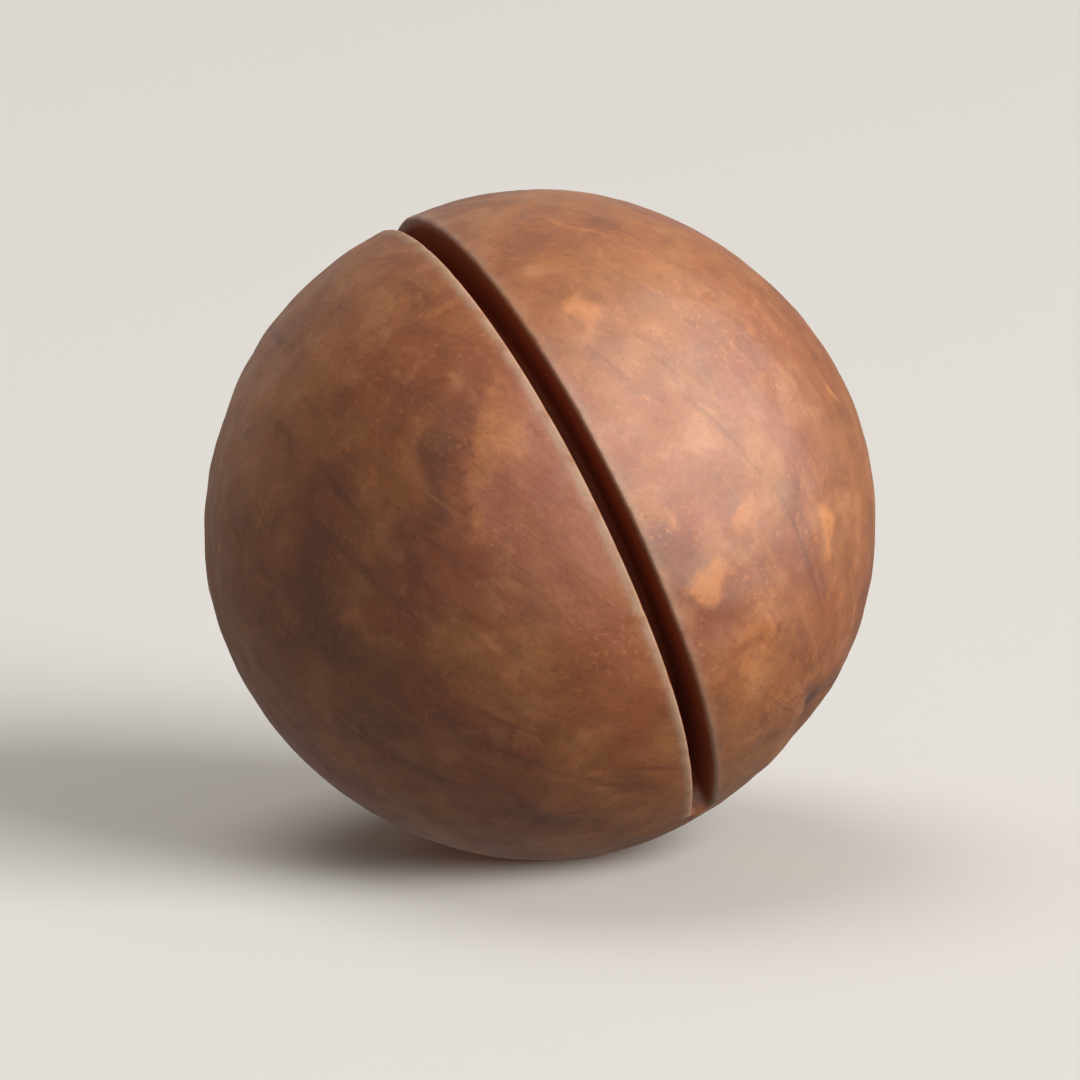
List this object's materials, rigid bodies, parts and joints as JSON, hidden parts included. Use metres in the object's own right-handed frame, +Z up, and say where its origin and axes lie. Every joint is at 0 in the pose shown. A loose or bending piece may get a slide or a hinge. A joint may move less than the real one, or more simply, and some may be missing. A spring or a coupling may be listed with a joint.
{
  "type": "macadamia nut in shell",
  "caption": "Round macadamia nut in its smooth woody shell, with a narrow saw slit half way round so that the shell can be cracked open.",
  "frame": {"origin": "centre of the small flat spot that the nut rests on, at the nut's lowest point", "axes": "+Z up through the middle of the nut, -Y towards the side that shows the middle of the saw slit, +X to the right of that side"},
  "size_m": [0.025, 0.025, 0.0246],
  "materials": {
    "shell": "satin"
  },
  "bodies": {
    "root": {"nut": "shell"}
  },
  "joints": []
}
